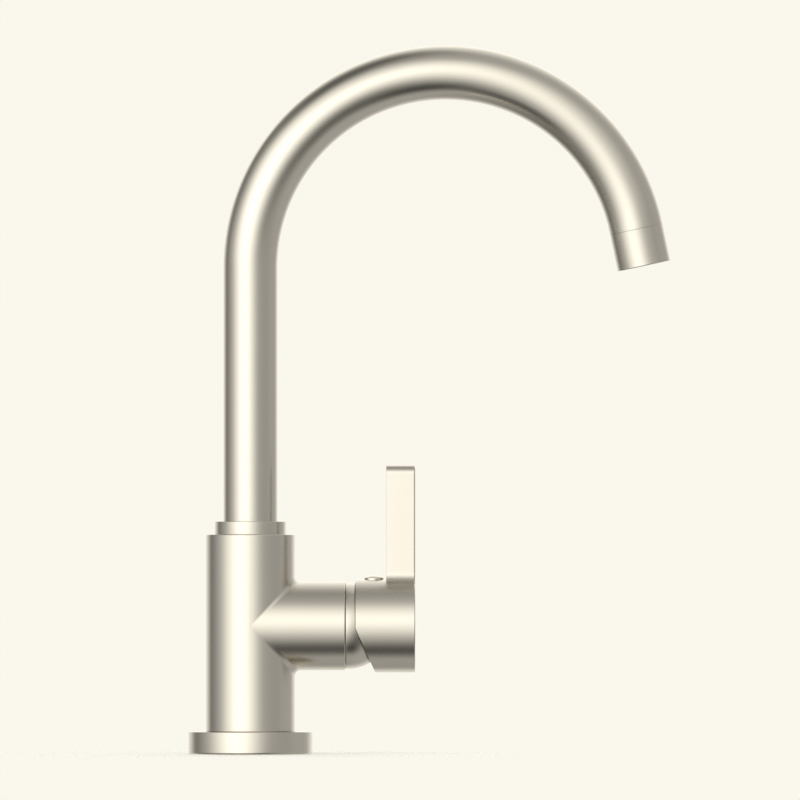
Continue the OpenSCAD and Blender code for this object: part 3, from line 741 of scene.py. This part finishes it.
class FAUCET_OT_bonnet(bpy.types.Operator):
    """Builds the domed bonnet that shows in the gap between the hub and the lever"""

    bl_idname = "faucet.bonnet"
    bl_label = "Bonnet"

    def execute(self, context):
        size = sizes()
        radius, start, end = high("bonnet", 1), low("bonnet", 0), high("bonnet", 0)
        lip = math.asin((end - PIVOT.x) / radius)
        bm = bmesh.new()
        verts = [bm.verts.new((radius, 0, start - PIVOT.x)), bm.verts.new((radius, 0, 0))]
        bm.edges.new(verts)
        bmesh.ops.spin(bm, geom=verts[1:], cent=(0, 0, 0), axis=(0, -1, 0), angle=lip, steps=DOME_STEPS)
        along_hub(spun_round(bm), PIVOT.x)
        finish_piece(
            bm, "domed_bonnet", BODY, "satin_nickel", "bonnet", size.edge,
            along=HUB_WAY, wall=size.bonnet_wall,
        )
        return {"FINISHED"}


class FAUCET_OT_lever(bpy.types.Operator):
    """Builds the lever: its round hub with the slanted skirt, and the blade that flares on to it"""

    bl_idname = "faucet.lever"
    bl_label = "Lever"

    def execute(self, context):
        self.hub()
        self.blade()
        return {"FINISHED"}

    def hub(self):
        size = sizes()
        radius, start, end = high("handle_hub", 1), low("handle_hub", 0), high("handle_hub", 0)
        bm = along_hub(turned([(radius, start), (radius, end), (0, end)]))
        slant = Vector((math.cos(LIFT), 0, math.sin(LIFT)))
        bmesh.ops.bisect_plane(
            bm, geom=bm.verts[:] + bm.edges[:] + bm.faces[:], dist=MERGE,
            plane_co=PIVOT + HUB_WAY * size.skirt_gap, plane_no=slant, clear_inner=True,
        )
        finish_piece(
            bm, "lever_hub", LEVER, "satin_nickel", "handle_hub", size.edge,
            along=HUB_WAY, wall=size.skirt_wall,
            weight_of=lambda edge: 1.0 if near(edge.verts[0].co.x, end) else FAINT,
        )

    def blade(self):
        """Draws one half of the blade's outline, mirrors it, and extrudes it along the hub's axis."""
        size = sizes()
        start, end = low("lever_blade", 0), high("lever_blade", 0) - SLACK
        hub_radius = high("handle_hub", 1)
        top_radius = size.blade / 2
        axis = Vector((start, 0, PIVOT.z))
        crown = Vector((start, 0, high("lever_blade", 2) - top_radius))
        normal = Vector((0, math.cos(size.draft), math.sin(size.draft)))
        down = Vector((0, math.sin(size.draft), -math.cos(size.draft)))
        # The fillet's centre slides down beside the blade's face until the fillet meets the hub
        beside = crown + normal * (top_radius + size.foot)
        along = (beside - axis).dot(down)
        reach = hub_radius + size.foot
        centre = beside - down * (along + math.sqrt(along ** 2 - (beside - axis).length_squared + reach ** 2))
        bm = bmesh.new()
        top = bm.verts.new(crown + UP * top_radius)
        face_top = self.swept(bm, top, crown, -HUB_WAY, math.pi / 2 - size.draft)
        face_end = bm.verts.new(centre - normal * size.foot)
        foot_end = self.swept(bm, face_end, centre, HUB_WAY, normal.angle(centre - axis))
        sole = bm.verts.new(foot_end.co - UP * size.sink)
        middle = bm.verts.new((start, 0, sole.co.z))
        for pair in ((face_top, face_end), (foot_end, sole), (sole, middle)):
            bm.edges.new(pair)
        bmesh.ops.mirror(bm, geom=bm.verts[:] + bm.edges[:], axis="Y", merge_dist=MERGE)
        bmesh.ops.remove_doubles(bm, verts=bm.verts, dist=MERGE)
        bmesh.ops.contextual_create(bm, geom=bm.edges[:])
        block = bmesh.ops.extrude_face_region(bm, geom=bm.faces[:])["geom"]
        bmesh.ops.translate(bm, verts=only(bmesh.types.BMVert, block), vec=HUB_WAY * (end - start))

        def weight(edge):
            """None on the edges that meet the hub or lie in it."""
            if any(from_hub_axis(vert.co) < hub_radius + RUN_IN for vert in edge.verts):
                return 0.0
            if all(near(vert.co.x, end) for vert in edge.verts):
                return 1.0
            return LIGHT if all(near(vert.co.x, start) for vert in edge.verts) else 0.0

        finish_piece(
            bm, "lever_paddle", LEVER, "satin_nickel", "lever_blade", size.blade_edge, weight_of=weight
        )

    def swept(self, bm, vert, centre, axis, turn):
        """Sweeps a vertex round a centre and gives the last one."""
        made = bmesh.ops.spin(bm, geom=[vert], cent=centre, axis=axis, angle=turn, steps=FILLET_STEPS)
        return only(bmesh.types.BMVert, made["geom_last"])[0]


class FAUCET_OT_button(bpy.types.Operator):
    """Builds the small domed index button on the lever's hub"""

    bl_idname = "faucet.button"
    bl_label = "Index button"

    def execute(self, context):
        size = sizes()
        lowest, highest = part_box("index_button")
        middle = (lowest + highest) / 2
        radius = (highest.x - lowest.x) / 2
        seat = PIVOT.z + high("handle_hub", 1) - size.sink
        rim = seat + size.button_rim
        rise = highest.z - rim
        dome = (radius ** 2 + rise ** 2) / (2 * rise)
        bm = bmesh.new()
        verts = [bm.verts.new(place) for place in ((0, 0, seat), (radius, 0, seat), (radius, 0, rim))]
        for pair in zip(verts, verts[1:]):
            bm.edges.new(pair)
        bmesh.ops.spin(
            bm, geom=verts[2:], cent=(0, 0, highest.z - dome), axis=(0, -1, 0),
            angle=math.asin(radius / dome), steps=BUTTON_STEPS,
        )
        spun_round(bm, AROUND_BUTTON)
        bmesh.ops.translate(bm, verts=bm.verts, vec=(middle.x, middle.y, 0))
        finish_piece(bm, "index_cap", LEVER, "polished_cap", "index_button", size.button_edge)
        return {"FINISHED"}


class FAUCET_OT_inner(bpy.types.Operator):
    """Finishes the pieces of the cartridge, the swivel and the aerator"""

    bl_idname = "faucet.inner"
    bl_label = "Inner pieces"

    def execute(self, context):
        for part in frame["record"]["subparts"]:
            node = frame["nodes"][part["node"]]
            if node.hide_render:
                continue
            in_hub = low(part["node"], 0) > 0 and high(part["node"], 2) < high("body", 2)
            node.data.materials.clear()
            node.data.materials.append(material_for(part["material_slot"], HUB_WAY if in_hub else UP))
        return {"FINISHED"}


# Stage


class Patch(NamedTuple):
    """A round patch of the studio: its place, its strength, and its core and soft rim, in degrees."""

    side: float
    rise: float
    strength: float
    core: float
    softness: float


# Stretches over which the large softbox rises and falls, to the side of the camera and upwards, in degrees
KEY_SIDE = (-132, -62), (-9, 81)
KEY_RISE = (-48, 13), (8, 71)

# The small softbox behind the object
RIM_LIGHT = Patch(172, 35, 1, 14, 41)

# The cards that shade the large softbox and the room
DARK_CARDS = (
    Patch(-148, 20, 0.95, 14, 8),  # behind, on the left
    Patch(-117, -9, 0.62, 28, 60),  # on the left
    Patch(-105, 63, 0.74, 8, 31),  # high on the left
    Patch(-57, -62, 0.71, 9, 14),  # low, in front on the left
    Patch(15, -62, 0.92, 3, 28),  # low in front
    Patch(32, -33, 0.68, 0, 37),  # below the middle, in front on the right
    Patch(35, -4, 0.56, 0, 60),  # in front on the right
)

# The share of a way that points straight back where the backdrop starts, and where it is full, and how much
# is added to that share with the height and to the side
BACKDROP = 0.547, 0.928
BACKDROP_RISE, BACKDROP_LEAN = 0.025, -0.035


def studio_way(side, rise):
    """The way to a place of the studio, in degrees to the side of the camera and above the horizon."""
    turn = Matrix.Rotation(math.radians(side), 3, "Z") @ Matrix.Rotation(math.radians(-rise), 3, "X")
    return turn @ Vector((0, -1, 0))


def light_studio():
    """A pale backdrop behind, one large softbox before and above, and a dim room round them."""
    look = studio()
    world = bpy.data.worlds.new("Studio")
    bpy.context.scene.world = world
    shader = Shader(world)
    way = shader.node("ShaderNodeTexCoord", output="Generated")
    parts = shader.node("ShaderNodeSeparateXYZ", inputs={0: way})
    x, y, z = (Term(shader, parts.socket.node.outputs[axis]) for axis in range(3))
    side = x.turn_from(-y) * math.degrees(1)
    rise = z.arcsine() * math.degrees(1)

    def patch(card):
        """The strength of a patch."""
        off = shader.dot(way, studio_way(card.side, card.rise)).arccosine() * math.degrees(1)
        return shader.ease(off, card.core, card.core + card.softness, card.strength, 0)

    def band(turn, opening, closing):
        """A band that fades in over the first stretch and out over the second."""
        return shader.ease(turn, *opening) * shader.ease(turn, *closing, 1, 0)

    light = look.room + band(side, *KEY_SIDE) * band(rise, *KEY_RISE) * look.key
    for card in DARK_CARDS:
        light = light * (1 - patch(card))
    behind = shader.ease(y + z.larger(0) * BACKDROP_RISE + x * BACKDROP_LEAN, *BACKDROP)
    seen = shader.node("ShaderNodeLightPath", output="Is Camera Ray")
    tint = Vector(look.lamp) / look.lamp[1]
    shown = shader.mix(seen.larger(behind), shader.scaled(tint, light), opaque(look.pale))
    rim = shader.scaled(tint, patch(RIM_LIGHT) * look.rim * (1 - seen))
    total = shader.node("ShaderNodeVectorMath", {"operation": "ADD"}, {0: shown, 1: rim})
    background = shader.node("ShaderNodeBackground", inputs={"Color": total, "Strength": 1.0})
    shader.node("ShaderNodeOutputWorld", inputs={"Surface": background})


# The floor's radius, where it fades into the backdrop, and where it fades for all rays but the camera's
FLOOR_RADIUS = 500 * MM
FLOOR_FADE = 50 * MM, 150 * MM
FLOOR_SHORT_FADE = 26 * MM, 29.5 * MM


def lay_floor():
    """A plain pale floor that keeps the object's shadow and fades into the backdrop."""
    look = studio()
    bm = bmesh.new()
    bmesh.ops.create_circle(bm, cap_ends=True, radius=FLOOR_RADIUS, segments=AROUND_FLOOR)
    mesh = bpy.data.meshes.new("floor")
    bm.to_mesh(mesh)
    bm.free()
    floor = bpy.data.objects.new("floor", mesh)
    bpy.context.scene.collection.objects.link(floor)
    material = bpy.data.materials.new("Pale floor")
    shader = Shader(material)
    away = shader.node("ShaderNodeVectorMath", {"operation": "LENGTH"}, {0: shader.place()}, output="Value")
    # The lamp's tint is taken off, so that the lit floor has the backdrop's colour
    dull = opaque(part / lamp * look.lamp[1] for part, lamp in zip(look.pale, look.lamp))
    ground = shader.node("ShaderNodeBsdfDiffuse", inputs={"Color": dull})
    camera, glossy, through = (
        shader.node("ShaderNodeLightPath", output=f"Is {kind} Ray")
        for kind in ("Camera", "Glossy", "Transmission")
    )
    strength = camera.larger(glossy).larger(through) * look.glow
    glow = shader.node("ShaderNodeEmission", inputs={"Color": opaque(look.pale), "Strength": strength})
    lit = shader.node("ShaderNodeAddShader", inputs={0: ground, 1: glow})
    clear = shader.node("ShaderNodeBsdfTransparent")
    fade = shader.ease(away, *FLOOR_FADE).larger(shader.ease(away, *FLOOR_SHORT_FADE) * (1 - camera))
    mixed = shader.node("ShaderNodeMixShader", inputs={0: fade, 1: lit, 2: clear})
    shader.node("ShaderNodeOutputMaterial", inputs={"Surface": mixed})
    mesh.materials.append(material)


def place_camera():
    """A far camera with a long lens, at the height and angle of the picture."""
    look = studio()
    data = bpy.data.cameras.new("Camera")
    camera = bpy.data.objects.new("Camera", data)
    bpy.context.scene.collection.objects.link(camera)
    target = Vector((look.target_x, 0, look.target_z))
    back = Vector((0, -math.cos(look.elevation), math.sin(look.elevation)))
    data.lens = data.sensor_width * look.distance / look.frame_width
    data.clip_start, data.clip_end = look.distance / 20, look.distance * 4
    camera.location = target + back * look.distance
    camera.rotation_mode = "QUATERNION"
    camera.rotation_quaternion = (-back).to_track_quat("-Z", "Y")
    bpy.context.scene.camera = camera


class FAUCET_OT_stage(bpy.types.Operator):
    """Sets up the floor, the studio light and the camera"""

    bl_idname = "faucet.stage"
    bl_label = "Stage"

    def execute(self, context):
        light_studio()
        lay_floor()
        place_camera()
        context.scene.view_settings.view_transform = "Standard"
        return {"FINISHED"}


OPERATORS = (
    FAUCET_OT_body, FAUCET_OT_flange, FAUCET_OT_collar, FAUCET_OT_spout, FAUCET_OT_outlet,
    FAUCET_OT_bonnet, FAUCET_OT_lever, FAUCET_OT_button, FAUCET_OT_inner, FAUCET_OT_stage,
)


class FAUCET_PT_panel(bpy.types.Panel):
    """Lists the faucet's sizes, finishes and pieces"""

    bl_idname = "FAUCET_PT_panel"
    bl_label = "Gooseneck Bar Faucet"
    bl_space_type = "VIEW_3D"
    bl_region_type = "UI"
    bl_category = "Faucet"

    def draw(self, context):
        for operator in OPERATORS:
            self.layout.operator(operator.bl_idname)
        for group in (sizes(), finishes(), studio()):
            box = self.layout.box()
            for name in group.__annotations__:
                box.prop(group, name)


CLASSES = (FaucetSizes, FaucetFinish, FaucetStudio, *OPERATORS, FAUCET_PT_panel)


def register():
    for kind in CLASSES:
        bpy.utils.register_class(kind)
    bpy.types.Scene.faucet_sizes = PointerProperty(type=FaucetSizes)
    bpy.types.Scene.faucet_finish = PointerProperty(type=FaucetFinish)
    bpy.types.Scene.faucet_studio = PointerProperty(type=FaucetStudio)


def unregister():
    del bpy.types.Scene.faucet_studio
    del bpy.types.Scene.faucet_finish
    del bpy.types.Scene.faucet_sizes
    for kind in reversed(CLASSES):
        bpy.utils.unregister_class(kind)


def main():
    register()
    bpy.ops.faucet.body()
    bpy.ops.faucet.flange()
    bpy.ops.faucet.collar()
    bpy.ops.faucet.spout()
    bpy.ops.faucet.outlet()
    bpy.ops.faucet.bonnet()
    bpy.ops.faucet.lever()
    bpy.ops.faucet.button()
    bpy.ops.faucet.inner()
    bpy.ops.faucet.stage()


if __name__ == "__main__":
    main()
